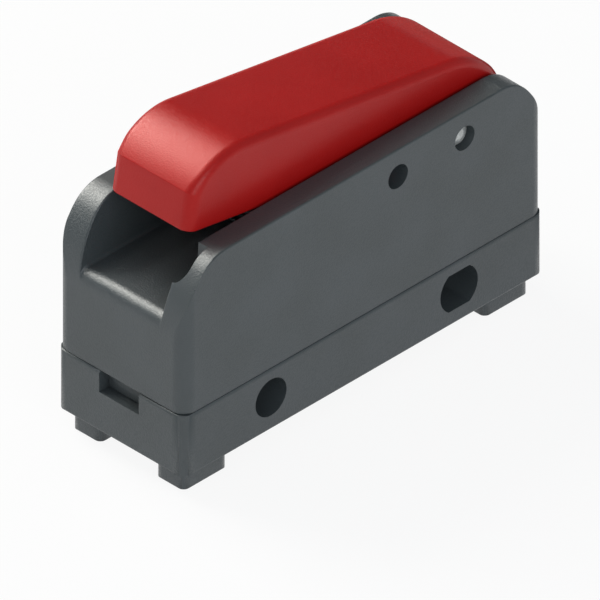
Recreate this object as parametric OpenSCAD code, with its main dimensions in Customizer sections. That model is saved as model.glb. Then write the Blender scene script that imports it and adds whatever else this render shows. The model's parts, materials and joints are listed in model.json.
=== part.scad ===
// Push-button micro switch: a long rocking button over a snap-action contact set.
// Millimetres. X runs along the case with the button's nose at -X, Y across it,
// and Z up from the soles of the feet.

/* [Base] */
// Length of the base
base_length = 49; // [47:0.5:54]
// Width of the base
base_width = 17.5; // [17:0.25:20]
// Height of the parting line above the soles
seam_height = 9.5; // [9.2:0.05:10]
// Radius of the upright corners of the case
corner_radius = 1.6; // [1:0.1:2.4]
// Radius of the long edges of the case
edge_radius = 0.3; // [0.1:0.05:0.5]
// Thickness of the moulded walls
wall = 1.5; // [1.3:0.1:1.8]
// Thickness of the base's floor
base_floor = 2; // [1.7:0.1:2.4]
// Height of the feet
foot_height = 2.5; // [2.4:0.05:2.7]
// Length of a foot
foot_length = 6.3; // [5:0.1:6.6]
// How far a foot stands in from the sides
foot_inset = 1.03; // [0.5:0.01:1.03]
// Radius of a foot's upright corners
foot_radius = 1.3; // [0.6:0.1:1.4]

/* [Mounting holes] */
// Distance from an end of the base to its cross hole
hole_inset = 11.8; // [11.4:0.1:12.2]
// Diameter of the round hole and height of the slotted one
hole_diameter = 4.2; // [3.6:0.1:4.4]
// Length of the slotted hole
slot_length = 5.05; // [4.6:0.05:5.3]
// Height of both holes above the soles
hole_height = 6.28; // [6.1:0.01:6.4]
// Wall round a cross hole
tube_wall = 0.95; // [0.7:0.05:1.1]

/* [Latch] */
// Width of the notch at each end of the base
notch_width = 5.35; // [4:0.05:6]
// Height of the notch below the parting line
notch_height = 2.4; // [1.8:0.1:2.8]
// Depth at which the notch shows the latch
notch_depth = 1.25; // [1:0.05:1.3]
// Thickness of the latch tongue
tongue_thickness = 0.9; // [0.7:0.05:1]
// How far the tongue reaches below the parting line
tongue_reach = 4.4; // [4:0.1:4.8]
// Height of the latch nose
nib_height = 1; // [0.7:0.1:1.2]
// How far the latch nose stands out of the tongue
nib_depth = 0.45; // [0.3:0.05:0.6]

/* [Housing] */
// How far the housing stands in from the base
setback = 0.12; // [0.05:0.01:0.25]
// Length of the side walls' rounded ends along the top
end_reach = 5.8; // [5:0.1:6.5]
// Height of the side walls' rounded ends down the end faces
end_drop = 8.5; // [7:0.1:9]
// Angle of the wide arc, before the tighter one at the top
end_turn = 40; // [30:1:50]
// Height of the side walls over the trough's floor
cheek_rise = 6.7; // [6.3:0.05:7.1]
// Thickness of the side walls at their top
cheek = 2.78; // [2.5:0.01:2.9]
// How much thicker the side walls are at the trough's floor
cheek_draft = 0.3; // [0.1:0.05:0.3]
// Height of the trough's floor above the soles
trough_height = 19.85; // [19.6:0.05:20]
// Thickness of the trough's floor
deck = 1.2; // [1:0.1:1.5]
// Radius of the trough's lower corners
trough_radius = 0.7; // [0.3:0.05:0.9]
// Radius of the sill at the trough's ends
sill_radius = 0.9; // [0.4:0.1:1.1]
// Thickness of the lip in front of the pocket in the near wall
front_lip = 1.4; // [1:0.05:1.6]
// Distance from the front face to the pocket's rear end
pocket_length = 4.8; // [4.2:0.1:5]
// Thickness of the near wall behind the pocket
pocket_wall = 1.6; // [1.4:0.05:1.8]
// Radius of the pocket's front corner
pocket_radius = 1.3; // [0.6:0.1:1.6]

/* [Pivot] */
// Distance from the housing's rear end to the pivot
pivot_inset = 10.8; // [10:0.1:11.3]
// Height of the pivot over the trough's floor
pivot_rise = 3.55; // [3.4:0.05:3.7]
// Diameter of the pivot pin
pin_diameter = 2.6; // [2.2:0.1:2.8]
// Distance from the pivot to the spare pin hole
spare_hole_pitch = 9; // [7:0.1:10]
// Depth of the pin's shoulder below the wall's face
pin_recess = 1.05; // [0.6:0.05:1.2]
// Height of the pin's domed ends
pin_dome = 0.55; // [0.3:0.05:0.6]

/* [Button] */
// Distance from the housing's front end to the pressed button's front face
nose_inset = 3.51; // [3:0.01:5]
// Height of the button's top face over the pivot
button_crown = 6.6; // [6.2:0.1:7]
// Depth of the button's lower edge under the pivot
button_skirt = 1.55; // [1.2:0.05:1.8]
// Radius of the nose
nose_radius = 7.8; // [7.2:0.1:9]
// Length of the nose's curve
nose_length = 6.8; // [5:0.1:7]
// Distance from the pivot to the button's rear face
rear_reach = 8.3; // [7.6:0.05:8.5]
// Radius of the rear end
rear_radius = 10; // [8.6:0.1:10.4]
// Length of the rear end's curve
rear_length = 8.16; // [7:0.01:8.3]
// Radius of the button's upright corners
button_corner = 1.3; // [0.9:0.1:2]
// Radius of the button's top edges
button_edge = 0.9; // [0.4:0.1:1.1]
// Thickness of the button's walls
button_wall = 1.5; // [1.2:0.1:1.7]
// Tilt of the button at rest, which is also its travel in degrees
rest_angle = 9.6; // [8:0.1:10]
// Radius of the button's bearing bosses
boss_radius = 2.5; // [2.1:0.1:2.7]
// Length of a bearing boss inside the skirt
boss_length = 1.2; // [0.6:0.1:1.6]

/* [Return spring] */
// Distance from the pivot to the spring's axis
spring_arm = 19.58; // [18:0.01:21]
// Diameter of the spring's wire
spring_wire = 0.7; // [0.5:0.05:0.9]
// Number of turns
spring_turns = 6; // [4:0.5:8]
// Height of the spring at rest
spring_height = 11; // [9:0.1:11.2]

/* [Plunger] */
// Distance from the pivot to the plunger's axis
plunger_arm = 5; // [4.5:0.1:5.5]
// Diameter of the plunger
plunger_diameter = 3; // [2.4:0.1:3.4]
// Diameter of the plunger's collar
collar_diameter = 4.6; // [4:0.1:5]
// Thickness of the collar
collar_thickness = 0.9; // [0.6:0.1:1.1]
// Length of the guide under the trough's floor
guide_length = 1.4; // [1:0.1:1.6]
// Depth of the button's rib under the pivot
rib_depth = 2.2; // [2:0.05:2.6]

/* [Contact set] */
// Distance from an end of the base to its terminal
terminal_inset = 5.9; // [5.5:0.1:6.3]
// Thickness of the terminal strips
strip = 0.8; // [0.6:0.05:0.9]
// Length of a terminal's pad
pad_length = 6.2; // [5.6:0.1:6.6]
// Half the width of the contact plates
plate_half = 2.1; // [2:0.05:2.3]
// Distance from the middle plane to a riser's outer face
riser_y = 3.4; // [3.3:0.02:3.44]
// Width of a terminal's riser
riser_width = 4; // [3:0.1:4.4]
// Inner radius of the strips' folds
fold_radius = 0.4; // [0.2:0.05:0.6]
// Distance of the arm's knife-edge from the middle
knife_x = -9.6; // [-10.5:0.1:-9]
// Thickness of the contact arm
arm_thickness = 0.4; // [0.3:0.05:0.5]
// Half the width of the contact arm
arm_half = 2.3; // [2:0.1:2.4]
// Half the width of the arm's tail and of its contact end
tail_half = 1.25; // [1.1:0.05:1.4]
// Distance from the knife-edge to the snap spring's anchor
anchor_reach = 6.2; // [5.8:0.1:6.6]
// Distance from the plunger's side to the snap spring's hook
hook_reach = 2.2; // [1.8:0.1:2.6]
// Distance of the contacts from the closed terminal's middle
contact_inset = 1.8; // [1.4:0.1:2.6]
// Diameter of the contacts
contact_diameter = 3; // [2.4:0.1:3.4]
// Height of a contact's head
contact_head = 0.65; // [0.5:0.05:0.8]
// Thickness of the bowed snap spring
bow_thickness = 0.25; // [0.2:0.05:0.35]
// Rise of the bowed snap spring
bow_rise = 1.5; // [1:0.1:1.8]

/* [Terminal screws] */
// Thread diameter of the terminal screws
screw_diameter = 3.5; // [3:0.1:4]
// Diameter of the screws' heads
head_diameter = 6; // [5.4:0.1:6.4]
// Height of the screws' heads
head_height = 1.4; // [1.2:0.05:1.5]
// Length of the screws' shanks
shank_length = 5.6; // [5:0.1:6]
// Side of the square wire clamps
clamp_side = 6.4; // [6.2:0.1:6.8]
// Thickness of the wire clamps
clamp_thickness = 0.7; // [0.5:0.05:0.8]

/* [Clearances] */
// Gap between parts that fit without moving
fit_gap = 0.05; // [0.02:0.01:0.1]
// Gap between the case halves and at the latch
case_gap = 0.1; // [0.05:0.01:0.15]
// Radial play of the button on its pin
pivot_play = 0.05; // [0.02:0.01:0.08]
// Radial play of the pin in the walls
pin_play = 0.025; // [0.01:0.005:0.05]
// Radial play of the plunger in its guide
plunger_play = 0.08; // [0.05:0.01:0.1]
// Gap where two moving parts meet
touch_gap = 0.06; // [0.04:0.01:0.1]
// Gap left between open contacts and other live parts
air_gap = 0.25; // [0.15:0.05:0.4]
// Gap between the button and a side wall
button_play = 0.4; // [0.3:0.05:0.7]
// Gap between the return spring and the button's inner walls
spring_gap = 0.85; // [0.6:0.05:1.2]
// Gap between a wire clamp and the feet
clamp_gap = 0.32; // [0.2:0.01:0.5]

/* [Hidden] */
$fn = 64;

CASE_GREY = "#55595c";
BUTTON_RED = "#a02222";
STEEL = "#c4c6c8";
BRASS = "#c9a45a";
COPPER = "#b9764a";
SILVER = "#dcdcd8";
NATURAL = "#e6e2d6";

// Extra length by which a cut runs past the face that it opens
over = 1;

case_length = base_length - 2 * setback;
case_width = base_width - 2 * setback;
end_x = case_length / 2;
side_y = case_width / 2;
trough_half = side_y - cheek;
floor_half = trough_half - cheek_draft;
housing_top = trough_height + cheek_rise;
deck_under = trough_height - deck;
tongue_x = base_length / 2 - wall - case_gap;
rim_inset = wall + setback + case_gap;
rim_upstand = 1.2;

hole_x = base_length / 2 - hole_inset;
tube_radius = slot_length / 2 + tube_wall;
floor_top = foot_height + base_floor;
screw_hole = screw_diameter / 2 + 2 * case_gap;
boss_wall = 0.55;
terminal_boss = screw_hole + boss_wall;
terminal_pitch = base_length / 2 - terminal_inset;
terminal_x = [-terminal_pitch, 0, terminal_pitch];
contact_x = terminal_pitch - contact_inset;
foot_width = base_width / 2 - foot_inset - clamp_side / 2 - clamp_gap;
foot_x = base_length / 2 - foot_inset - foot_length / 2;
foot_y = base_width / 2 - foot_inset - foot_width / 2;

pivot_x = end_x - pivot_inset;
pivot_height = trough_height + pivot_rise;

// Motion: the rib's height over the plunger for a tilt of the button
function rib_height(tilt) =
    pivot_height + plunger_arm * tan(tilt) - rib_depth / cos(tilt);
// Height of the button's top face at rest over a place along the case
function crown_height(x) =
    pivot_height + (pivot_x - x) * tan(rest_angle) + button_crown / cos(rest_angle);
plunger_x = pivot_x - plunger_arm;
plunger_dome = 3;
dome_lift = plunger_dome * (1 / cos(rest_angle) - 1);
plunger_top = rib_height(rest_angle) - dome_lift - touch_gap;
plunger_travel = rib_height(rest_angle) - rib_height(0) - dome_lift;
arm_angle = asin(plunger_travel / (plunger_x - knife_x));
contact_travel = ceil(100 * (contact_x - knife_x) * sin(arm_angle)) / 100;

// Levels of the contact set, stacked up from the cross holes
plate_z = hole_height + tube_radius + air_gap;
plate_top = plate_z + strip;
open_face = plate_top + contact_head;
moving_low = open_face + contact_travel + 2 * touch_gap;
arm_z = moving_low + contact_head;
arm_top = arm_z + arm_thickness;
moving_high = arm_top + contact_head;
closed_face = moving_high + touch_gap;
closed_z = closed_face + contact_head;

// Places along the contact set
post_x = knife_x - strip / 2;
anchor_x = knife_x + anchor_reach;
fold_y = riser_y - strip - fold_radius;
flat_y = fold_y - case_gap;
hook_x = plunger_x - plunger_diameter / 2 - hook_reach;
contact_border = 0.3;
contact_margin = contact_diameter / 2 + contact_border;
window_half = arm_half / 2;
anchor_half = window_half - air_gap;
rivet_x = (knife_x + anchor_x) / 2;
rivet_radius = 0.8;
rivet_hole = rivet_radius + fit_gap / 2;

// Places in the button's own frame, which has its origin on the pivot
front_s = nose_inset - end_x - pivot_x;
nose_s = front_s + nose_length;
nose_t = button_crown - nose_radius;
rear_s = rear_reach - rear_length;
rear_t = button_crown - rear_radius;
button_half = trough_half - button_play;
inner_half = button_half - button_wall;
lug_length = 1.3;
lug_lip = 0.85;
lug_distance = 6.5;
lug_x = plunger_x - plunger_diameter / 2 - lug_distance;
lug_inner = inner_half + 2 * case_gap;
lug_outer = button_half - 3 * case_gap;
lug_swing = 1.4;
spring_x = pivot_x - spring_arm;
spring_diameter = 2 * (inner_half - spring_gap);
seat_radius = spring_diameter / 2 + 2 * touch_gap;
spigot_radius = spring_diameter / 2 - spring_wire - 2 * case_gap;
spigot_height = 1.3;
spring_top = trough_height + spring_height;

// Rectangle with rounded corners, centred
module rounded_rect(l, w, r) {
    square([l - 2 * r, w], center = true);
    square([l, w - 2 * r], center = true);
    for (sx = [-1, 1], sy = [-1, 1])
        translate([sx * (l / 2 - r), sy * (w / 2 - r)]) circle(r);
}

// Upright section of a block, w wide, from z0 to z1, with its own lower and upper radius
module edge_section(w, z0, z1, low, high) {
    translate([-w / 2, z0 + low]) square([w, z1 - z0 - low - high]);
    translate([-w / 2 + low, z0]) square([w - 2 * low, low + over / 10]);
    translate([-w / 2 + high, z1 - high - over / 10]) square([w - 2 * high, high + over / 10]);
    for (s = [-1, 1]) {
        translate([s * (w / 2 - low), z0 + low]) circle(low);
        translate([s * (w / 2 - high), z1 - high]) circle(high);
    }
}

// Extrudes a section drawn in X and Z across the case, centred on Y
module across(w) {
    rotate([90, 0, 0]) linear_extrude(w, center = true) children();
}

// Extrudes a section drawn in Y and Z along the case, from x0 to x1
module along(x0, x1) {
    translate([x0, 0, 0]) rotate([90, 0, 90]) linear_extrude(x1 - x0) children();
}

// Upright cylinder from z0 to z1
module post(x, y, z0, z1, r) {
    translate([x, y, z0]) cylinder(r = r, h = z1 - z0);
}

// Upright pin from z0 to z1 with a domed upper end of radius d
module domed_pin(z0, z1, r, d) {
    intersection() {
        post(0, 0, z0, z1, r);
        union() {
            post(0, 0, z0 - over, z1 - d, r + over);
            translate([0, 0, z1 - d]) sphere(d);
        }
    }
}

// Box from one corner to another
module block(low, high) {
    translate(low) cube(high - low);
}

// Moulded block with rounded upright corners, and rounded long edges below and above
module moulded_block(l, w, z0, z1, r, low, high) {
    intersection() {
        translate([0, 0, z0]) linear_extrude(z1 - z0) rounded_rect(l, w, r);
        along(-l / 2, l / 2) edge_section(w, z0, z1, low, high);
        across(w) edge_section(l, z0, z1, low, high);
    }
}

// Bore across the whole case
module cross_bore(x, z, r) {
    translate([x, 0, z]) rotate([90, 0, 0]) cylinder(r = r, h = base_width + 2 * over, center = true);
}

module feet() {
    for (sx = [-1, 1], sy = [-1, 1])
        translate([sx * foot_x, sy * foot_y, 0])
            moulded_block(foot_length, foot_width, 0, foot_height + edge_radius + base_floor / 2,
                          foot_radius, edge_radius, edge_radius);
}

// Ledge inside the rim with an upstand that centres the housing
module locating_rim() {
    ledge = 1.4;
    thickness = 0.8;
    outer = 2 * rim_inset;
    inner = outer + 2 * thickness;
    difference() {
        union() {
            translate([0, 0, seam_height - ledge]) linear_extrude(ledge)
                rounded_rect(base_length - wall, base_width - wall, corner_radius);
            translate([0, 0, seam_height - over]) linear_extrude(rim_upstand + over)
                rounded_rect(base_length - outer, base_width - outer, corner_radius / 2);
        }
        translate([0, 0, seam_height - ledge - over]) linear_extrude(ledge + rim_upstand + 2 * over)
            rounded_rect(base_length - inner, base_width - inner, corner_radius / 2);
        block([-base_length, -notch_width / 2 - 4 * case_gap, seam_height - ledge - over],
              [base_length, notch_width / 2 + 4 * case_gap, seam_height + rim_upstand + over]);
    }
}

// Room above the parting line for the housing's walls
module housing_room() {
    translate([0, 0, seam_height]) linear_extrude(rim_upstand + over) difference() {
        square([base_length + over, base_width + over], center = true);
        rounded_rect(base_length - 2 * rim_inset, base_width - 2 * rim_inset, corner_radius / 2);
    }
}

// Seat for one terminal: pad recess, riser slot and blind screw hole
module terminal_seat(x, side) {
    half = pad_length / 2 + fit_gap;
    y_far = riser_y + fit_gap;
    y_near = -plate_half - fit_gap;
    riser_half = riser_width / 2 + fit_gap;
    mirror([0, side > 0 ? 0 : 1, 0]) translate([x, 0, 0]) {
        block([-half, y_near, foot_height - over], [half, y_far, foot_height + strip]);
        block([-riser_half, fold_y, foot_height],
              [riser_half, y_far, floor_top + over]);
    }
    post(x, 0, foot_height, foot_height + shank_length, screw_hole);
}

module base() {
    boss_top = foot_height + shank_length + wall / 2;
    cavity_radius = corner_radius / 2;
    groove_low = seam_height - tongue_reach - case_gap;
    color(CASE_GREY)
    difference() {
        union() {
            difference() {
                moulded_block(base_length, base_width, foot_height, seam_height, corner_radius,
                              edge_radius, edge_radius);
                translate([0, 0, floor_top]) linear_extrude(seam_height)
                    rounded_rect(base_length - 2 * wall, base_width - 2 * wall, cavity_radius);
            }
            feet();
            locating_rim();
            for (sx = [-1, 1])
                translate([sx * hole_x, 0, hole_height]) rotate([90, 0, 0])
                    cylinder(r = tube_radius, h = base_width - wall, center = true);
            for (x = terminal_x)
                post(x, 0, foot_height + strip, boss_top, terminal_boss);
        }
        cross_bore(-hole_x, hole_height, hole_diameter / 2);
        intersection() {
            cross_bore(hole_x, hole_height, slot_length / 2);
            translate([hole_x, 0, hole_height])
                cube([slot_length + over, base_width + 4 * over, hole_diameter], center = true);
        }
        for (sx = [-1, 1]) mirror([sx > 0 ? 0 : 1, 0, 0]) {
            block([tongue_x - over, -notch_width / 2, seam_height - notch_height],
                  [base_length / 2 + over, notch_width / 2, seam_height + over]);
            block([tongue_x - over, -notch_width / 2, groove_low],
                  [tongue_x + nib_depth + case_gap, notch_width / 2,
                   groove_low + nib_height + 2 * case_gap]);
        }
        housing_room();
        terminal_seat(terminal_x[0], 1);
        terminal_seat(terminal_x[1], 1);
        terminal_seat(terminal_x[2], -1);
    }
}

// Side view of the housing: each end is a wide arc that runs into a tighter one at the top
module housing_side() {
    spread = (end_drop - end_reach) / (cos(end_turn) + sin(end_turn) - 1);
    wide = end_reach + spread * cos(end_turn);
    tight = end_drop - spread * sin(end_turn);
    meet = wide * sin(end_turn) - end_drop;
    edge_section(case_length, seam_height, housing_top - end_drop + edge_radius, edge_radius, edge_radius);
    translate([-end_x + end_reach, housing_top - end_drop])
        square([case_length - 2 * end_reach, end_drop]);
    for (end = [0, 1]) mirror([end, 0]) translate([end_x, housing_top]) {
        intersection() {
            translate([-wide, -end_drop]) circle(wide);
            translate([-end_reach, -end_drop]) square([end_reach, end_drop + meet]);
        }
        intersection() {
            translate([-end_reach, -tight]) circle(tight);
            translate([-end_reach, meet]) square([end_reach, -meet]);
        }
    }
}

// Outer form of the housing: rounded plan, rounded ends and soft top edges
module housing_block() {
    intersection() {
        translate([0, 0, seam_height]) linear_extrude(housing_top - seam_height)
            rounded_rect(case_length, case_width, corner_radius);
        across(case_width) housing_side();
        along(-end_x, end_x) edge_section(case_width, seam_height, housing_top, edge_radius, edge_radius);
    }
}

// Rounds the end of the trough's floor into an end face over a width
module sill(w) {
    difference() {
        block([end_x - sill_radius, -w / 2, trough_height - sill_radius],
              [end_x + over, w / 2, trough_height + over]);
        translate([end_x - sill_radius, 0, trough_height - sill_radius]) rotate([90, 0, 0])
            cylinder(r = sill_radius, h = w + over, center = true);
    }
}

// Cross section of the trough in Y and Z: drafted walls and rounded lower corners
module trough_section() {
    r = trough_radius;
    lean = cheek_draft / (cheek_rise - r);
    top_half = trough_half + over * lean;
    translate([0, trough_height + r]) {
        polygon([
            [-floor_half, 0],
            [floor_half, 0],
            [top_half, cheek_rise - r + over],
            [-top_half, cheek_rise - r + over]
        ]);
        translate([r - floor_half, -r]) square([2 * (floor_half - r), r]);
        for (s = [-1, 1]) translate([s * (floor_half - r), 0]) circle(r);
    }
}

// Open space above the trough's floor, with the pocket in the near wall
module trough() {
    rise = cheek_rise + over;
    pocket_x = -end_x + front_lip;
    pocket_y = -side_y + pocket_wall;
    pocket_end = -end_x + pocket_length;
    r = pocket_radius;
    along(-end_x - over, end_x + over) trough_section();
    translate([0, 0, trough_height]) linear_extrude(rise) {
        translate([pocket_x + r, pocket_y]) square([pocket_end - pocket_x - r, r]);
        translate([pocket_x, pocket_y + r]) square([pocket_end - pocket_x, -pocket_y]);
        translate([pocket_x + r, pocket_y + r]) circle(r);
    }
    sill(2 * floor_half);
    mirror([1, 0, 0]) sill(2 * floor_half);
}

// Latch tongue that reaches down into the base behind the notch, at the +X end
module latch_tongue() {
    half = notch_width / 2 - case_gap;
    low = seam_height - tongue_reach;
    inner = tongue_x - tongue_thickness;
    block([inner, -half, low], [tongue_x, half, seam_height + wall]);
    block([inner, -half, seam_height], [tongue_x + wall / 2, half, seam_height + wall]);
    block([inner, -half, seam_height - notch_height + case_gap],
          [base_length / 2 - notch_depth, half, seam_height + edge_radius]);
    across(2 * half) polygon([
        [tongue_x - tongue_thickness / 2, low],
        [tongue_x, low],
        [tongue_x + nib_depth, low + nib_height],
        [tongue_x - tongue_thickness / 2, low + nib_height]
    ]);
}

module upper_housing() {
    slot_front = lug_x - case_gap;
    slot_rear = lug_x + lug_length + lug_swing;
    color(CASE_GREY)
    difference() {
        union() {
            difference() {
                housing_block();
                trough();
                translate([0, 0, seam_height - over]) linear_extrude(deck_under - seam_height + over)
                    rounded_rect(case_length - 2 * wall, case_width - 2 * wall, corner_radius / 2);
            }
            post(plunger_x, 0, deck_under - guide_length, deck_under + deck / 2, collar_diameter / 2);
            post(spring_x, 0, trough_height - deck / 2, trough_height + spigot_height, spigot_radius);
            latch_tongue();
            mirror([1, 0, 0]) latch_tongue();
        }
        post(plunger_x, 0, deck_under - guide_length - over, trough_height + over,
             plunger_diameter / 2 + plunger_play);
        for (s = [-1, 1]) mirror([0, s > 0 ? 0 : 1, 0])
            block([slot_front, lug_inner - 2 * case_gap, deck_under - over],
                  [slot_rear, lug_outer + 2 * case_gap, trough_height + over]);
        cross_bore(pivot_x, pivot_height, pin_diameter / 2 + pin_play);
        cross_bore(pivot_x - spare_hole_pitch, pivot_height, pin_diameter / 2 + pin_play);
    }
}

// Places children in the button's own frame at rest
module in_button() {
    translate([pivot_x, 0, pivot_height]) rotate([0, rest_angle, 0]) children();
}

// Side view of one end of the hollow under the button's top, towards +X from the arc's middle
module hollow_end(length, radius, low) {
    reach = length - button_wall;
    inner = radius - button_wall;
    intersection() {
        circle(inner);
        square([reach, inner]);
    }
    translate([0, low]) square([reach, -low]);
}

// Side view of the hollow under the button's top
module button_hollow_section() {
    low = -button_skirt - over;
    translate([nose_s, low]) square([rear_s - nose_s, button_crown - button_wall - low]);
    translate([nose_s, nose_t]) mirror([1, 0]) hollow_end(nose_length, nose_radius, low - nose_t);
    translate([rear_s, rear_t]) hollow_end(rear_length, rear_radius, low - rear_t);
}

// Upper half of the button's cross section, from the middle of an arc to its rim
module rim_section(radius) {
    intersection() {
        rounded_rect(2 * radius, 2 * button_half, button_edge);
        translate([0, -button_half]) square([radius, 2 * button_half]);
    }
}

// Rounded end of the button, towards +X: the cross section turned about the arc's middle
module button_end(radius) {
    rotate([90, 0, 0]) rotate_extrude(angle = 90) rim_section(radius);
}

// Solid outer form of the button: an arc at each end, a flat top and soft top edges
module button_form() {
    foot_top = nose_t + button_edge / 3;
    length = rear_reach - front_s;
    intersection() {
        union() {
            translate([nose_s, 0, nose_t]) mirror([1, 0, 0]) button_end(nose_radius);
            translate([rear_s, 0, rear_t]) button_end(rear_radius);
            translate([nose_s, 0, nose_t]) rotate([0, -90, 180])
                linear_extrude(rear_s - nose_s) rim_section(nose_radius);
            block([front_s, -button_half, -button_skirt - over], [rear_s, button_half, foot_top]);
        }
        translate([front_s + length / 2, 0, -button_skirt]) linear_extrude(button_skirt + button_crown)
            rounded_rect(length, 2 * button_half, button_corner);
    }
}

// Lug that reaches through the trough's floor and stops the button's rise
module stop_lug() {
    lip_top = deck_under - touch_gap;
    block([lug_x, lug_inner, lip_top - lug_lip],
          [lug_x + lug_length, lug_outer, pivot_height + button_crown / 3]);
    block([lug_x - lug_lip, lug_inner, lip_top - lug_lip], [lug_x + lug_length, lug_outer, lip_top]);
}

module rocker_button() {
    seat_top = crown_height(spring_x + seat_radius) - button_wall / 4;
    boss_y = inner_half - boss_length;
    rib = [2.2, 1.4];
    color(BUTTON_RED)
    difference() {
        union() {
            in_button() {
                difference() {
                    button_form();
                    across(2 * inner_half) button_hollow_section();
                }
                for (s = [-1, 1])
                    translate([0, s * (boss_y + inner_half + button_wall / 2) / 2, 0]) rotate([90, 0, 0])
                        cylinder(r = boss_radius, h = boss_length + button_wall / 2, center = true);
                block([-plunger_arm - rib[0], -rib[1], -rib_depth],
                      [-plunger_arm + rib[0], rib[1], button_crown - button_wall / 2]);
            }
            post(spring_x, 0, spring_top, seat_top, seat_radius);
            post(spring_x, 0, spring_top - spigot_height, seat_top, spigot_radius);
            stop_lug();
            mirror([0, 1, 0]) stop_lug();
        }
        cross_bore(pivot_x, pivot_height, pin_diameter / 2 + pivot_play);
    }
}

module pivot_pin() {
    r = pin_diameter / 2;
    dome_radius = (r * r + pin_dome * pin_dome) / (2 * pin_dome);
    color(STEEL) translate([pivot_x, 0, pivot_height]) rotate([90, 0, 0])
        for (end = [0, 1]) mirror([0, 0, end])
            domed_pin(-over, side_y - pin_recess + pin_dome, r, dome_radius);
}

// Point on the spring's helix: closed end turns and even turns between them
function coil_height(turn) =
    let (free = spring_turns - 2, rise = spring_height - 3 * spring_wire)
    spring_wire / 2 + spring_wire * (min(turn, 1) + max(turn - spring_turns + 1, 0))
    + rise * max(0, min(turn - 1, free)) / free;

module return_spring() {
    sides = 8;
    steps = 16;
    mean = (spring_diameter - spring_wire) / 2;
    rings = spring_turns * steps;
    points = [
        for (i = [0 : rings], j = [0 : sides - 1])
            let (turn = i / steps, a = 360 * turn, b = 360 * j / sides, r = mean + spring_wire / 2 * cos(b))
            [r * cos(a), r * sin(a), coil_height(turn) + spring_wire / 2 * sin(b)]
    ];
    walls = [
        for (i = [0 : rings - 1], j = [0 : sides - 1])
            let (k = (j + 1) % sides)
            [i * sides + j, (i + 1) * sides + j, (i + 1) * sides + k, i * sides + k]
    ];
    first = [[for (j = [0 : sides - 1]) j]];
    last = [[for (j = [0 : sides - 1]) rings * sides + sides - 1 - j]];
    color(STEEL) translate([spring_x, 0, trough_height])
        polyhedron(points, concat(walls, first, last), convexity = 8);
}

module plunger() {
    tip_dome = 2;
    collar_top = deck_under - guide_length - touch_gap;
    collar_low = collar_top - collar_thickness;
    low = arm_top + touch_gap;
    color(NATURAL) translate([plunger_x, 0, 0]) {
        domed_pin(collar_low, plunger_top, plunger_diameter / 2, plunger_dome);
        post(0, 0, collar_low, collar_top, collar_diameter / 2);
        translate([0, 0, low + collar_top]) mirror([0, 0, 1])
            domed_pin(low, collar_top, plunger_diameter / 3, tip_dome);
    }
}

module contact_arm() {
    tail_length = 1.4;
    window_reach = 2.5;
    wide_start = knife_x + strip / 2 + fit_gap;
    wide_end = plunger_x + plunger_diameter / 2;
    color(COPPER) difference() {
        union() {
            translate([0, 0, arm_z]) linear_extrude(arm_thickness) {
                translate([knife_x - tail_length, -tail_half]) square([2 * tail_length, 2 * tail_half]);
                translate([wide_start, -arm_half]) square([wide_end - wide_start, 2 * arm_half]);
                translate([plunger_x, -tail_half]) square([contact_x - plunger_x, 2 * tail_half]);
                translate([contact_x, 0]) circle(contact_diameter / 2);
            }
            block([hook_x, -window_half, arm_z],
                  [hook_x + arm_thickness, window_half, arm_top + contact_head]);
        }
        block([anchor_x - window_reach, -window_half, arm_z - over],
              [anchor_x + window_reach, window_half, arm_top + over]);
        post(contact_x, 0, arm_z - over, arm_top + over, rivet_hole);
    }
}

module moving_contact() {
    r = contact_diameter / 2 - case_gap;
    color(SILVER) {
        post(contact_x, 0, moving_low, arm_z, r);
        post(contact_x, 0, arm_z - contact_head / 2, arm_top + contact_head / 2, rivet_radius);
        post(contact_x, 0, arm_top, moving_high, r);
    }
}

// Bowed leaf between the anchor and the hook on the arm
module snap_spring() {
    left = anchor_x + strip / 2 + touch_gap;
    right = hook_x - fit_gap;
    half_span = (right - left) / 2;
    base_z = arm_top + contact_head / 2;
    radius = (half_span * half_span + bow_rise * bow_rise) / (2 * bow_rise);
    middle_z = base_z + bow_rise - radius;
    color(STEEL) across(2 * anchor_half) intersection() {
        translate([(left + right) / 2, middle_z]) difference() {
            circle(radius);
            circle(radius - bow_thickness);
        }
        translate([left, base_z]) square([right - left, bow_rise + over]);
    }
}

module spring_anchor() {
    foot_start = knife_x + strip / 2 + air_gap;
    foot_half = plate_half - air_gap;
    foot_top = plate_top + strip;
    tip = arm_top + contact_head;
    color(STEEL) difference() {
        union() {
            block([foot_start, -foot_half, plate_top], [anchor_x - strip, foot_half, foot_top]);
            block([anchor_x - 2 * strip, -anchor_half, plate_top],
                  [anchor_x + strip / 2, anchor_half, foot_top]);
            block([anchor_x - strip / 2, -anchor_half, plate_top], [anchor_x + strip / 2, anchor_half, tip]);
        }
        post(rivet_x, 0, plate_top - over, foot_top + over, rivet_hole);
    }
}

module anchor_rivet() {
    head = [1.5, 0.5];
    low = plate_z - head[1];
    high = plate_top + strip + head[1];
    color(BRASS) {
        post(rivet_x, 0, low + head[1] / 2, high - head[1] / 2, rivet_radius);
        post(rivet_x, 0, high - head[1], high, head[0]);
        post(rivet_x, 0, low, low + head[1], head[0]);
    }
}

// Folds and riser between the pad under the base and the plate inside, in Y and Z
module strip_section(top_z) {
    deep = 2 * riser_y;
    bend = fold_radius + strip;
    mid_z = (foot_height + top_z) / 2;
    intersection() {
        difference() {
            translate([riser_y - deep, mid_z]) rounded_rect(2 * deep, top_z - foot_height, bend);
            translate([riser_y - strip - deep, mid_z])
                rounded_rect(2 * deep, top_z - foot_height - 2 * strip, fold_radius);
        }
        translate([flat_y - case_gap, 0]) square([riser_y - flat_y + case_gap, top_z + over]);
    }
}

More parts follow.
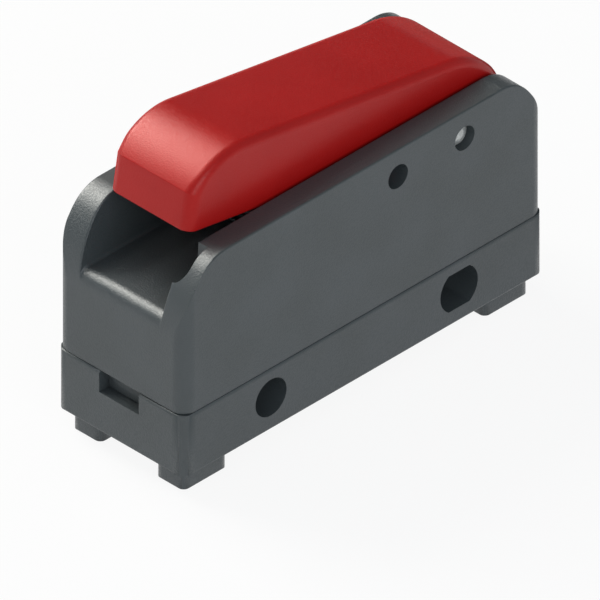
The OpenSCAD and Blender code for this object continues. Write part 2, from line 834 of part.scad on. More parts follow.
// Folded terminal at a place along the case, with its plate from x0 to x1
module folded_strip(x, top_z, x0, x1) {
    difference() {
        union() {
            along(x - riser_width / 2, x + riser_width / 2) strip_section(top_z);
            block([x - pad_length / 2, -plate_half, foot_height],
                  [x + pad_length / 2, flat_y, foot_height + strip]);
            block([x0, -plate_half, top_z - strip], [x1, flat_y, top_z]);
        }
        post(x, 0, foot_height - over, foot_height + strip + over, screw_diameter / 2 + fit_gap / 2);
    }
}

module common_terminal() {
    plate_start = terminal_x[0] - riser_width / 2;
    plate_stop = anchor_x + strip / 2;
    slot_half = tail_half + touch_gap;
    post_top = arm_top + contact_head;
    color(BRASS) difference() {
        union() {
            folded_strip(terminal_x[0], plate_top, plate_start, plate_stop);
            block([post_x, -plate_half, plate_z], [post_x + strip, plate_half, post_top]);
        }
        block([post_x - over, -slot_half, arm_z - 2 * touch_gap],
              [post_x + strip + over, slot_half, arm_top + 2 * touch_gap]);
        post(rivet_x, 0, plate_z - over, plate_top + over, rivet_hole);
    }
}

module open_terminal() {
    color(BRASS) difference() {
        folded_strip(terminal_x[1], plate_top, terminal_x[1] - riser_width / 2, contact_x + contact_margin);
        post(contact_x, 0, plate_z - over, plate_top + over, rivet_hole);
    }
}

module closed_terminal() {
    top_z = closed_z + strip;
    color(BRASS) difference() {
        translate([terminal_x[2], 0, 0]) rotate([0, 0, 180])
            folded_strip(0, top_z, -riser_width / 2, terminal_x[2] - contact_x + contact_margin);
        post(contact_x, 0, closed_z - over, top_z + over, rivet_hole);
    }
}

module open_contact() {
    color(SILVER) {
        post(contact_x, 0, plate_top, open_face, contact_diameter / 2);
        post(contact_x, 0, plate_z, open_face - contact_head / 2, rivet_radius);
    }
}

module closed_contact() {
    color(SILVER) {
        post(contact_x, 0, closed_face, closed_z, contact_diameter / 2);
        post(contact_x, 0, closed_face + contact_head / 2, closed_z + strip, rivet_radius);
    }
}

// Square wire clamp under a terminal's pad
module wire_clamp(x) {
    half = clamp_side / 2;
    low = foot_height - clamp_thickness;
    color(STEEL) difference() {
        block([x - half, -half, low], [x + half, half, foot_height - fit_gap]);
        post(x, 0, low - over, foot_height + over, screw_diameter / 2 + case_gap);
    }
}

module common_clamp() {
    wire_clamp(terminal_x[0]);
}

module open_clamp() {
    wire_clamp(terminal_x[1]);
}

module closed_clamp() {
    wire_clamp(terminal_x[2]);
}

// Screw with a slotted cross drive, its head down
module terminal_screw(x) {
    head_top = foot_height - clamp_thickness;
    head_low = head_top - head_height;
    tip = foot_height + shank_length - wall / 2;
    slot_width = 0.9;
    slot_depth = 0.8;
    cross_length = head_diameter * 0.6;
    difference() {
        union() {
            post(x, 0, head_low, head_top, head_diameter / 2);
            post(x, 0, head_top - head_height / 2, tip, screw_diameter / 2);
        }
        translate([x, 0, head_low]) cube([slot_width, head_diameter + over, 2 * slot_depth], center = true);
        translate([x, 0, head_low]) cube([cross_length, slot_width, 2 * slot_depth], center = true);
    }
}

module terminal_screws() {
    color(STEEL) for (x = terminal_x) terminal_screw(x);
}

base();
upper_housing();
rocker_button();
pivot_pin();
return_spring();
plunger();
contact_arm();
moving_contact();
snap_spring();
spring_anchor();
anchor_rivet();
common_terminal();
open_terminal();
closed_terminal();
open_contact();
closed_contact();
common_clamp();
open_clamp();
closed_clamp();
terminal_screws();
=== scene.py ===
"""Push-button micro switch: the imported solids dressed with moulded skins, finishes and studio light.

Lengths are in millimetres until a mesh is made, and MM turns them into metres.
"""
import json
import bmesh
import bpy
import numpy as np
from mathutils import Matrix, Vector
from mathutils.geometry import tessellate_polygon


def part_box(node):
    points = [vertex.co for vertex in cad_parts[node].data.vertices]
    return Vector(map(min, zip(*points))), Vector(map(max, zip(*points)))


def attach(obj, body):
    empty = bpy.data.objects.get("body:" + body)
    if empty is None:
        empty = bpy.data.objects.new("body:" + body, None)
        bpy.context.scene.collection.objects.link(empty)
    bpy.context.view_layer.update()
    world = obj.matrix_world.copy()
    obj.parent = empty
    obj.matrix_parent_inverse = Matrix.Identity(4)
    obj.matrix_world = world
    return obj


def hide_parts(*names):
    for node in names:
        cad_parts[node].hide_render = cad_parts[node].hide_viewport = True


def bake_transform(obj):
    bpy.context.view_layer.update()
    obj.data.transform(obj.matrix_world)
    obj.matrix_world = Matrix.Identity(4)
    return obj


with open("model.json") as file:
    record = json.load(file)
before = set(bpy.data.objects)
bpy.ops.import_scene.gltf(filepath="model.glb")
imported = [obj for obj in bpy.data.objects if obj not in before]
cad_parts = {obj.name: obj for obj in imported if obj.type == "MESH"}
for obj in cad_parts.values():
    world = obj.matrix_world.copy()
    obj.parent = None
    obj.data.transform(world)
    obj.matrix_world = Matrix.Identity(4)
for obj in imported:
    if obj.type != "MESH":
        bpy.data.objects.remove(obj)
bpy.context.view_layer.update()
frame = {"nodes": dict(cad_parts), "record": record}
MM = 0.001
scene = bpy.context.scene
scene.view_settings.view_transform = "Standard"

PRESS = frame["record"]["behaviour"]["joints"][0]
PIVOT_X = PRESS["pos_m"][0] / MM
PIVOT_Z = PRESS["pos_m"][2] / MM
TILT = np.radians(PRESS["range_deg"][1])
BOTH = (-1, 1)


# Meshes from arrays

WELD = 0.002
RING_POINTS = 48


class Skin:
    """Collects sheets of points and flat faces, and welds them into one mesh."""

    def __init__(self):
        self.points, self.faces, self.count = [], [], 0

    def grid(self, points):
        """Adds a sheet of rows by columns of points: each square of four neighbours is a face."""
        rows, cols = points.shape[:2]
        index = np.arange(rows * cols).reshape(rows, cols)
        quads = np.stack([index[:-1, :-1], index[1:, :-1], index[1:, 1:], index[:-1, 1:]], -1)
        self._add(points.reshape(-1, 3), quads.reshape(-1, 4))

    def band(self, *loops):
        """Adds the faces between loops of equally many points, each loop closed in itself."""
        self.grid(np.stack([np.concatenate([loop, loop[:1]]) for loop in loops]))

    def flat(self, outline, holes=()):
        """Adds a flat face with an outline and holes, cut into triangles."""
        loops = [outline, *holes]
        triangles = tessellate_polygon([loop.tolist() for loop in loops])
        self._add(np.concatenate(loops), np.array(triangles))

    def _add(self, points, faces):
        self.points.append(points)
        self.faces.extend((faces + self.count).tolist())
        self.count += len(points)

    def mesh(self, name):
        """Welds points that lie closer than WELD and turns the faces outwards."""
        mesh = bpy.data.meshes.new(name)
        mesh.from_pydata((np.concatenate(self.points) * MM).tolist(), [], self.faces)
        work = bmesh.new()
        work.from_mesh(mesh)
        bmesh.ops.remove_doubles(work, verts=work.verts, dist=WELD * MM)
        bmesh.ops.dissolve_degenerate(work, edges=work.edges, dist=WELD * MM / 2)
        bmesh.ops.recalc_face_normals(work, faces=work.faces)
        work.to_mesh(mesh)
        work.free()
        return mesh


def xyz(x, y, z):
    """Points from lengths along, across and up, as arrays or values spread over each other."""
    return np.stack(np.broadcast_arrays(x, y, z), -1)


def level(plan, z):
    """Points of a plan at one height."""
    return np.insert(plan, 2, z, 1)


def at_side(view, y):
    """Points of a side view at a place across the case."""
    return np.insert(view, 1, y, 1)


def ring(first, second, radius):
    """Circle about a middle, as a loop in plan or in the side view."""
    a = np.linspace(0, 2 * np.pi, RING_POINTS, endpoint=False)
    return np.stack([first + radius * np.cos(a), second + radius * np.sin(a)], -1)


def bar(skin, profile, near, far):
    """Adds a bar: a side view carried straight across the case between two places, with flat ends."""
    ends = [at_side(profile, y) for y in (near, far)]
    skin.band(*ends)
    for end in ends:
        skin.flat(end)


def ease(value):
    """Runs from 0 to 1 with the value, with soft ends."""
    t = np.clip(value, 0, 1)
    return t * t * (3 - 2 * t)


def row_at(values, value):
    """Number of the row whose value is nearest."""
    return int(np.argmin(np.abs(values - value)))


def show(name, mesh, body, material, nodes, sharp=34):
    """Puts a finished mesh into the scene in place of the CAD nodes that it stands for, on a body or, with
    none, on no body. Edges that turn by more than sharp degrees stay sharp."""
    mesh.shade_smooth()
    mesh.set_sharp_from_angle(angle=np.radians(sharp))
    mesh.materials.append(material)
    piece = bpy.data.objects.new(name, mesh)
    scene.collection.objects.link(piece)
    if body:
        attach(piece, body)
    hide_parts(*nodes)
    return piece


def soften(piece, width, angle):
    """Rounds the edges of a piece that turn by more than an angle, with even shading across them."""
    bevel = piece.modifiers.new("soft_edges", "BEVEL")
    bevel.width = width * MM
    bevel.segments = 2
    bevel.limit_method = "ANGLE"
    bevel.angle_limit = np.radians(angle)
    bevel.use_clamp_overlap = False
    bevel.harden_normals = True
    bevel.miter_outer = "MITER_ARC"


def even_shading(piece):
    """Lets large flat faces set the shading, so that small radii blend into them."""
    normals = piece.modifiers.new("even_shading", "WEIGHTED_NORMAL")
    normals.mode = "FACE_AREA"
    normals.weight = 100
    normals.keep_sharp = True


# Finishes

PIT_DEPTH = 0.02
TONE_SIZE, TONE_DETAIL, LINE_DETAIL = 140.0, 3.0, 4.0
GRAZE_START, GRAZE_END = 0.57, 0.74


def link(tree, start, end):
    """Joins an output to an input."""
    tree.links.new(start, end)


def srgb(r, g, b):
    """Screen colour from 0 to 255 as linear light."""
    c = np.array([r, g, b]) / 255.0
    lin = np.where(c <= 0.04045, c / 12.92, ((c + 0.055) / 1.055) ** 2.4)
    return (*lin.tolist(), 1.0)


def moulded_grain_group():
    """Spark-eroded mould grain on Object coordinates: small pits as a height, and slow noise as a tone."""
    tree = bpy.data.node_groups.new("moulded_grain", "ShaderNodeTree")
    size = tree.interface.new_socket(name="Size", in_out="INPUT", socket_type="NodeSocketFloat")
    size.default_value = 5000.0
    for name in ("Height", "Tone"):
        tree.interface.new_socket(name=name, in_out="OUTPUT", socket_type="NodeSocketFloat")
    enter = tree.nodes.new("NodeGroupInput")
    leave = tree.nodes.new("NodeGroupOutput")
    place = tree.nodes.new("ShaderNodeTexCoord")
    pits = tree.nodes.new("ShaderNodeTexVoronoi")
    slow = tree.nodes.new("ShaderNodeTexNoise")
    slow.inputs["Scale"].default_value = TONE_SIZE
    slow.inputs["Detail"].default_value = TONE_DETAIL
    link(tree, place.outputs["Object"], pits.inputs["Vector"])
    link(tree, place.outputs["Object"], slow.inputs["Vector"])
    link(tree, enter.outputs["Size"], pits.inputs["Scale"])
    link(tree, pits.outputs["Distance"], leave.inputs["Height"])
    link(tree, slow.outputs["Fac"], leave.inputs["Tone"])
    return tree


GRAIN = moulded_grain_group()


def ramp(tree, value, low, high, start=0.35, end=0.65):
    """Spreads a value between start and end over two colours."""
    node = tree.nodes.new("ShaderNodeValToRGB")
    node.color_ramp.elements[0].position = start
    node.color_ramp.elements[1].position = end
    node.color_ramp.elements[0].color = low
    node.color_ramp.elements[1].color = high
    link(tree, value, node.inputs["Fac"])
    return node.outputs["Color"]


def spread(tree, value, low, high, start=0.3, end=0.7):
    """Maps a value between start and end, such as noise about its middle, to another range."""
    node = tree.nodes.new("ShaderNodeMapRange")
    node.inputs["From Min"].default_value = start
    node.inputs["From Max"].default_value = end
    node.inputs["To Min"].default_value = low
    node.inputs["To Max"].default_value = high
    link(tree, value, node.inputs["Value"])
    return node.outputs["Result"]


def dulled(tree, rough, amount):
    """Adds to a roughness towards grazing angles, at which the flanks of the grain hide its gloss."""
    edge = tree.nodes.new("ShaderNodeLayerWeight")
    total = tree.nodes.new("ShaderNodeMath")
    more = spread(tree, edge.outputs["Facing"], 0.0, amount, GRAZE_START, GRAZE_END)
    link(tree, rough, total.inputs[0])
    link(tree, more, total.inputs[1])
    return total.outputs[0]


def moulding(name, dark, light, rough, size, bump, specular=0.5, tint=(1, 1, 1, 1), dull=0.0):
    """Moulded plastic: a tone between two colours, grain in the gloss, which may dull at grazing angles, and
    a fine bump."""
    material = bpy.data.materials.new(name)
    material.use_nodes = True
    tree = material.node_tree
    shader = tree.nodes["Principled BSDF"]
    shader.inputs["Specular IOR Level"].default_value = specular
    shader.inputs["Specular Tint"].default_value = tint
    grain = tree.nodes.new("ShaderNodeGroup")
    grain.node_tree = GRAIN
    grain.inputs["Size"].default_value = size
    link(tree, ramp(tree, grain.outputs["Tone"], dark, light), shader.inputs["Base Color"])
    gloss = spread(tree, grain.outputs["Height"], *rough)
    link(tree, dulled(tree, gloss, dull) if dull else gloss, shader.inputs["Roughness"])
    relief = tree.nodes.new("ShaderNodeBump")
    relief.inputs["Strength"].default_value = bump
    relief.inputs["Distance"].default_value = PIT_DEPTH * MM
    link(tree, grain.outputs["Height"], relief.inputs["Height"])
    link(tree, relief.outputs["Normal"], shader.inputs["Normal"])
    return material


def drawn_metal(name, dark, light, rough, stretch, metallic=1.0):
    """Drawn or rolled metal: noise that may be stretched along an axis tints the colour and the gloss."""
    material = bpy.data.materials.new(name)
    material.use_nodes = True
    tree = material.node_tree
    shader = tree.nodes["Principled BSDF"]
    shader.inputs["Metallic"].default_value = metallic
    place = tree.nodes.new("ShaderNodeTexCoord")
    turn = tree.nodes.new("ShaderNodeMapping")
    turn.inputs["Scale"].default_value = stretch
    lines = tree.nodes.new("ShaderNodeTexNoise")
    lines.inputs["Scale"].default_value = 1.0
    lines.inputs["Detail"].default_value = LINE_DETAIL
    link(tree, place.outputs["Object"], turn.inputs["Vector"])
    link(tree, turn.outputs["Vector"], lines.inputs["Vector"])
    link(tree, ramp(tree, lines.outputs["Fac"], dark, light), shader.inputs["Base Color"])
    link(tree, spread(tree, lines.outputs["Fac"], *rough), shader.inputs["Roughness"])
    return material


EVEN, DRAWN, ROLLED = (2600, 2600, 2600), (6000, 900, 6000), (700, 5200, 5200)
CASE = moulding("grey_case_moulding", srgb(60, 66, 68), srgb(65, 71, 74),
                rough=(0.31, 0.46), size=5600.0, bump=0.7)
RED = moulding("red_button_moulding", srgb(166, 17, 16), srgb(172, 20, 19),
               rough=(0.3, 0.42), size=5400.0, bump=0.4, specular=0.45, tint=(0.84, 0.5, 0.47, 1), dull=0.5)
NATURAL = moulding("natural_plunger_moulding", srgb(222, 218, 205), srgb(233, 229, 218),
                   rough=(0.4, 0.55), size=3000.0, bump=0.1)
STEEL = drawn_metal("bright_steel", srgb(190, 192, 194), srgb(214, 216, 218), (0.18, 0.32), DRAWN)
PIN_STEEL = drawn_metal("satin_plated_pin", srgb(176, 178, 176), srgb(190, 192, 190), (0.22, 0.3), EVEN, 0.3)
SPRING_STEEL = drawn_metal("dark_spring_steel", srgb(62, 64, 67), srgb(80, 82, 85), (0.4, 0.55), EVEN)
BRASS = drawn_metal("rolled_brass", srgb(196, 160, 88), srgb(214, 178, 104), (0.24, 0.4), ROLLED)
COPPER = drawn_metal("rolled_copper", srgb(178, 112, 72), srgb(200, 132, 88), (0.22, 0.38), ROLLED)
SILVER = drawn_metal("silver_face", srgb(206, 206, 203), srgb(228, 228, 226), (0.2, 0.34), EVEN)
NODE_FINISH = {
    "pivot_pin": PIN_STEEL, "plunger": NATURAL, "contact_arm": COPPER, "moving_contact": SILVER,
    "snap_spring": STEEL, "spring_anchor": STEEL, "anchor_rivet": BRASS, "common_terminal": BRASS,
    "open_terminal": BRASS, "closed_terminal": BRASS, "open_contact": SILVER, "closed_contact": SILVER,
    "common_clamp": STEEL, "open_clamp": STEEL, "closed_clamp": STEEL, "terminal_screws": STEEL,
}
for node, finish in NODE_FINISH.items():
    frame["nodes"][node].data.materials.clear()
    frame["nodes"][node].data.materials.append(finish)


# Base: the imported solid, with exact shading on its round corners

BASE_HALF = np.array(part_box("base")[1][:2]) / MM
BASE_TURN, FOOT_TURN, FOOT_INSET = 1.6, 1.3, 1.03
FOOT_HALF = np.array((3.15, 2.1))
FOOT_MIDDLE = BASE_HALF - FOOT_INSET - FOOT_HALF
MERGE, FLAT_TURN = 0.0005, 0.3
SQUARE, SLACK, OUTWARD = 0.9999, 0.02, 0.8


def merged_copy(node):
    """Copy of a solid's mesh with its triangles welded and its flat faces made whole."""
    mesh = frame["nodes"][node].data.copy()
    mesh.materials.clear()
    work = bmesh.new()
    work.from_mesh(mesh)
    bmesh.ops.remove_doubles(work, verts=work.verts, dist=MERGE * MM)
    bmesh.ops.dissolve_limit(work, angle_limit=np.radians(FLAT_TURN), verts=work.verts, edges=work.edges)
    work.to_mesh(mesh)
    work.free()
    return mesh


def plan_shading(mesh, plans):
    """Gives flat faces their own normal, and upright walls the exact normals of their plans, each a
    rectangle with round corners."""
    points = np.empty(len(mesh.vertices) * 3)
    mesh.vertices.foreach_get("co", points)
    corners, at = np.empty(len(mesh.loops) * 3), np.empty(len(mesh.loops), int)
    mesh.corner_normals.foreach_get("vector", corners)
    mesh.loops.foreach_get("vertex_index", at)
    facing, sides = np.empty(len(mesh.polygons) * 3), np.empty(len(mesh.polygons), int)
    mesh.polygon_normals.foreach_get("vector", facing)
    mesh.polygons.foreach_get("loop_total", sides)
    points, corners = points.reshape(-1, 3)[at] / MM, corners.reshape(-1, 3)
    facing = np.repeat(facing.reshape(-1, 3), sides, axis=0)
    square = np.abs(facing).max(1) > SQUARE
    corners[square] = facing[square]
    upright = np.abs(facing[:, 2]) < SLACK
    for middle, half, radius in plans:
        place = points[:, :2] - middle
        reach = np.sign(place) * np.clip(np.abs(place) - half + radius, 0, None)
        size = np.linalg.norm(reach, axis=1)
        way = reach / np.maximum(size, 1e-6)[:, None]
        wall = upright & (np.abs(size - radius) < SLACK) & ((way * facing[:, :2]).sum(1) > OUTWARD)
        corners[wall] = level(way[wall], 0.0)
    mesh.normals_split_custom_set(corners.tolist())


base = show("base_moulding", merged_copy("base"), "case", CASE, ["base"], sharp=30)
plan_shading(base.data, [((0, 0), BASE_HALF, BASE_TURN)]
             + [(FOOT_MIDDLE * (end, side), FOOT_HALF, FOOT_TURN) for end in BOTH for side in BOTH])


# Upper housing: sizes along, across and up the case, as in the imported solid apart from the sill's radius

END, SIDE, TOP = np.array(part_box("upper_housing")[1]) / MM
SEAM, DECK_UNDER, FLOOR = 9.5, 18.65, 19.85
WALL, CORNER_TURN, SILL, TROUGH_TURN = 1.5, 1.6, 1.3, 0.35
FLANK = SIDE - CORNER_TURN
FLOOR_HALF, CHEEK_DRAFT, CHEEK_FOOT = 5.55, 0.3, 20.55
END_REACH, END_DROP, END_TURN = 5.8, 8.5, np.radians(40)
END_SPREAD = (END_DROP - END_REACH) / (np.cos(END_TURN) + np.sin(END_TURN) - 1)
WIDE = END_REACH + END_SPREAD * np.cos(END_TURN)
TIGHT = END_DROP - END_SPREAD * np.sin(END_TURN)
WIDE_MIDDLE = np.array([END - WIDE, TOP - END_DROP])
TIGHT_MIDDLE = np.array([END - END_REACH, TOP - TIGHT])
ARCS_MEET = WIDE_MIDDLE + WIDE * np.array([np.cos(END_TURN), np.sin(END_TURN)])
SILL_LOW = FLOOR - SILL
SEAM_TURN, RIM_TURN, LEAST_TURN = 0.2, 0.18, 0.02
RIM_START, RIM_SLACK = 0.03, 0.01
OUTER_FADE, INNER_FADE, POCKET_FADE = 3.0, 1.5, 0.4
RIM_STEPS, OUTER_STEPS = 5, 3
FOOT = SEAM + SEAM_TURN
STEP = SILL_LOW + TROUGH_TURN
POCKET_FRONT, POCKET_BEND, POCKET_END = END - 1.4, END - 2.7, END - 4.8
PIN_HOLES, PIN_HOLE = (PIVOT_X - 9.0, PIVOT_X), 1.325
SLOT_FRONT, SLOT_REAR, SLOT_IN, SLOT_OUT = 0.48, 3.28, 3.95, 5.35
GUIDE_X, GUIDE_BORE, GUIDE_COLLAR, GUIDE_LENGTH = 8.58, 1.58, 2.3, 1.4
SPRING_X, SPIGOT, SPIGOT_HEIGHT = -6.0, 2.2, 1.3
LATCH = np.array([(22.0, 5.1), (22.9, 5.1), (23.35, 6.1), (22.9, 6.1), (22.9, 7.2), (23.25, 7.2),
                  (23.25, 9.8), (23.65, 9.8), (23.65, 11.0), (22.0, 11.0)])
LATCH_HALF = 2.575


def end_face(z):
    """Distance of an end face from the middle at a height: upright, then a wide arc, then a tight one."""
    wide = WIDE_MIDDLE[0] + np.sqrt(WIDE ** 2 - np.clip(z - WIDE_MIDDLE[1], 0, WIDE) ** 2)
    tight = TIGHT_MIDDLE[0] + np.sqrt(np.clip(TIGHT ** 2 - (z - TIGHT_MIDDLE[1]) ** 2, 0, None))
    return np.where(z < ARCS_MEET[1], wide, tight)


def rim_height(x):
    """Height of the rim at a distance from the middle, on the same two arcs."""
    wide = WIDE_MIDDLE[1] + np.sqrt(WIDE ** 2 - np.clip(x - WIDE_MIDDLE[0], 0, WIDE) ** 2)
    tight = TIGHT_MIDDLE[1] + np.sqrt(np.clip(TIGHT ** 2 - (x - TIGHT_MIDDLE[0]) ** 2, 0, None))
    return np.where(x > ARCS_MEET[0], wide, tight)


def inner_face(z):
    """Half width between the drafted inner faces of the cheeks at a height."""
    return FLOOR_HALF + CHEEK_DRAFT * (z - CHEEK_FOOT) / (TOP - CHEEK_FOOT)


def flank(x):
    """Half width of the case at a distance from the middle: straight, with a round corner in plan."""
    return FLANK + np.sqrt(CORNER_TURN ** 2 - np.clip(x - END + CORNER_TURN, 0, CORNER_TURN) ** 2)


def on_cheek(view, side):
    """Points of a side view on the inner face of a cheek."""
    return at_side(view, side * inner_face(view[:, 1]))


def plan_ring(half_length, half_width, radius):
    """Rectangle with round corners, as a loop in plan."""
    a = np.linspace(0, np.pi / 2, 10)
    bend = radius * np.stack([np.cos(a), np.sin(a)], -1) + (half_length - radius, half_width - radius)
    return np.concatenate([bend, (bend * (-1, 1))[::-1], -bend, (bend * (1, -1))[::-1]])


def housing_skin():
    """Upper half of the case. Its outline is the side view from the front foot over the rim to the rear
    foot. Straight lines carried across that outline make the rims and the end faces, upright lines at the
    corners make the round corners, and the trough is its cross section carried along the case and down
    over a quarter round sill at both ends. Flat faces with their holes close the sides and the inside."""
    skin = Skin()

    # Rows of the outline, from the foot of an end to the flat top
    slot_bend = np.arcsin(1 - (inner_face(FLOOR + TROUGH_TURN) - SLOT_OUT) / TROUGH_TURN)
    bend = np.sort(np.append(np.linspace(0, np.pi / 2, 12), slot_bend))
    run, rise = TROUGH_TURN * np.sin(bend), TROUGH_TURN * (1 - np.cos(bend))
    climb = np.linspace(np.arcsin((STEP - WIDE_MIDDLE[1]) / WIDE),
                        np.arccos((POCKET_FRONT - WIDE_MIDDLE[0]) / WIDE), 20)
    low_z = np.concatenate([
        np.linspace(FOOT, WIDE_MIDDLE[1], 9), np.linspace(WIDE_MIDDLE[1], SILL_LOW, 7)[1:],
        SILL_LOW + rise[1:], WIDE_MIDDLE[1] + WIDE * np.sin(climb[1:-1])])
    sweep = np.linspace(0, np.pi / 2, 14)
    bay = POCKET_BEND + (POCKET_FRONT - POCKET_BEND) * np.cos(sweep)
    corner_x = END - CORNER_TURN - np.array([0, RIM_START])
    lean = np.arcsin((np.array([POCKET_BEND, POCKET_END, TIGHT_MIDDLE[0]]) - TIGHT_MIDDLE[0]) / TIGHT)
    turn_over = np.concatenate([np.linspace(lean[0], lean[1], 16)[1:], np.linspace(lean[1], lean[2], 9)[1:]])
    high_x = np.concatenate([np.sort(np.append(bay, corner_x))[::-1],
                             TIGHT_MIDDLE[0] + TIGHT * np.sin(turn_over)])
    half_x = np.concatenate([end_face(low_z), high_x])
    half_z = np.concatenate([low_z, rim_height(high_x)])
    flat_x = np.linspace(-TIGHT_MIDDLE[0], TIGHT_MIDDLE[0], 26)[1:-1]
    x = np.concatenate([-half_x, flat_x, half_x[::-1]])
    z = np.concatenate([half_z, np.full_like(flat_x, TOP), half_z[::-1]])
    rows, top_line = len(x), np.stack([x, z], -1)
    foot, sill, step = [row_at(half_z, height) for height in (WIDE_MIDDLE[1], SILL_LOW, STEP)]
    corner, bay_end, pocket, pocket_end = [
        row_at(half_x, place) for place in (END - CORNER_TURN, POCKET_BEND, POCKET_FRONT, POCKET_END)]

    # Rims of the cheeks and outer parts of the end faces
    toe = inner_face(STEP) - TROUGH_TURN
    notch = toe + np.sqrt(np.clip(TROUGH_TURN ** 2 - np.clip(STEP - z, 0, TROUGH_TURN) ** 2, 0, None))
    inside = np.where(z < STEP, notch, inner_face(z))
    pocket_y = inside[pocket]
    into_bay = np.clip(-x - POCKET_BEND, 0, None) / (POCKET_FRONT - POCKET_BEND)
    bay_depth = np.sqrt(np.clip(1 - into_bay ** 2, 0, 1))
    bay_side = np.where((-x <= POCKET_FRONT) & (x < 0), pocket_y + (FLANK - pocket_y) * bay_depth, inside)
    outside = flank(np.abs(x))

    # Small radii of the rim's edges, which fade out at the corners, the sills and the pocket
    length = np.append(0, np.cumsum(np.hypot(np.diff(x), np.diff(z))))
    inward = np.stack([np.gradient(z, length), -np.gradient(x, length)], -1)
    inward /= np.linalg.norm(inward, axis=1)[:, None]
    past_corner = END - CORNER_TURN - np.abs(x)
    outer_turn = np.maximum(RIM_TURN * ease(past_corner / OUTER_FADE), LEAST_TURN)
    outer_turn = np.where(past_corner > RIM_SLACK, outer_turn, 0)
    inner_turn = RIM_TURN * ease((z - STEP) / INNER_FADE)
    off_pocket = np.maximum(-x - POCKET_FRONT, POCKET_END + x)
    near_turn = inner_turn * ease(off_pocket / POCKET_FADE)
    inner_turn, near_turn = [np.where(turn < LEAST_TURN, 0, turn) for turn in (inner_turn, near_turn)]
    swing = np.linspace(0, np.pi / 2, 6)

    def sheet(part, y, depth, side):
        """Rows of points at a half width and a depth below the rim."""
        place = top_line[part, None] + depth[..., None] * inward[part, None]
        return np.stack([place[..., 0], side * y, place[..., 1]], -1)

    def outer_rim(part, side):
        """Rim from the side face over a quarter circle to the flank's line."""
        r = outer_turn[part, None]
        edge = outside[part, None] - r * (1 - np.cos(swing))
        flat = edge[:, -1:] + (FLANK - edge[:, -1:]) * np.linspace(0, 1, OUTER_STEPS + 1)[1:]
        depth = np.concatenate([r * (1 - np.sin(swing)), np.zeros_like(flat)], 1)
        return sheet(part, np.concatenate([edge, flat], 1), depth, side)

    def inner_rim(part, end, turn, side):
        """Rim from the flank's line over a quarter circle to the inner face."""
        r, start = turn[part, None], end[part, None] + turn[part, None]
        flat = FLANK + (start - FLANK) * np.linspace(0, 1, RIM_STEPS + 1)[:-1]
        depth = np.concatenate([np.zeros_like(flat), r * (1 - np.cos(swing))], 1)
        fall = inner_face(z[part, None] + depth * inward[part, None, 1]) - inner_face(z[part, None])
        edge = start - r * np.sin(swing)
        return sheet(part, np.concatenate([flat, edge], 1) + fall, depth, side)

    for side in BOTH:
        skin.grid(outer_rim(slice(foot, rows - foot), side))
    skin.grid(inner_rim(slice(0, rows), inside, inner_turn, 1))
    skin.grid(inner_rim(slice(0, bay_end + 1), bay_side, near_turn, -1))
    rear_cheek = inner_rim(slice(pocket_end, rows), inside, near_turn, -1)
    skin.grid(rear_cheek)

    # Middle of the end faces, and the trough's section carried down over the sills
    plank = np.linspace(-1, 1, 9)
    end_rows = slice(0, sill + 1)
    theta = np.linspace(0, np.pi / 2, 13)[:, None]
    lift = np.concatenate([rise[::-1], np.zeros(len(plank) - 2), rise])
    half = inner_face(SILL_LOW + SILL * np.sin(theta) + TROUGH_TURN)
    section = np.concatenate([-(half - TROUGH_TURN + run[::-1]), (half - TROUGH_TURN) * plank[1:-1],
                              half - TROUGH_TURN + run], 1)
    sill_x = END - SILL + (end_face(SILL_LOW + lift) - END + SILL) * np.cos(theta)
    sill_z = SILL_LOW + SILL * np.sin(theta) + lift
    for end in BOTH:
        skin.grid(xyz(end * half_x[end_rows, None], toe * plank, half_z[end_rows, None]))
        skin.grid(np.stack([end * sill_x, section, sill_z], -1))

    # Lower corners of the trough, broken by the pocket and by the slots for the button's stops
    floor_end, curb = END - SILL, inner_face(FLOOR + TROUGH_TURN) - TROUGH_TURN
    past_slot = row_at(curb + run, SLOT_OUT)
    far_runs = [(-floor_end, SLOT_FRONT, 0)]
    near_runs = [(-floor_end, -POCKET_FRONT, 0), (-POCKET_END, SLOT_FRONT, 0)]
    rear_runs = [(SLOT_FRONT, SLOT_REAR, past_slot), (SLOT_REAR, floor_end, 0)]
    for side, runs in ((-1, near_runs), (1, far_runs)):
        for start, stop, first in runs + rear_runs:
            skin.grid(xyz(np.array([[start], [stop]]), side * (curb + run[first:]), FLOOR + rise[first:]))

    # Floor of the trough, with the plunger's bore and the spigot for the spring
    bays = slice(pocket, pocket_end + 1)
    bay_plan = np.stack([x[bays], -bay_side[bays]], -1)
    front_plan = np.stack([np.full(len(plank), -floor_end), curb * plank], -1)
    near_slot = np.array([(SLOT_FRONT, -curb), (SLOT_FRONT, -SLOT_IN),
                          (SLOT_REAR, -SLOT_IN), (SLOT_REAR, -curb)])
    floor_plan = np.concatenate([
        [(-floor_end, -curb), (-POCKET_FRONT, -curb)], bay_plan, [(-POCKET_END, -curb)], near_slot,
        front_plan * (-1, 1), (near_slot * (1, -1))[::-1], front_plan[:0:-1]])
    guide, collar = ring(GUIDE_X, 0, GUIDE_BORE), ring(GUIDE_X, 0, GUIDE_COLLAR)
    spigot = ring(SPRING_X, 0, SPIGOT)
    skin.flat(level(floor_plan, FLOOR), [level(guide, FLOOR), level(spigot, FLOOR)])
    skin.band(level(spigot, FLOOR), level(spigot, FLOOR + SPIGOT_HEIGHT))
    skin.flat(level(spigot, FLOOR + SPIGOT_HEIGHT))

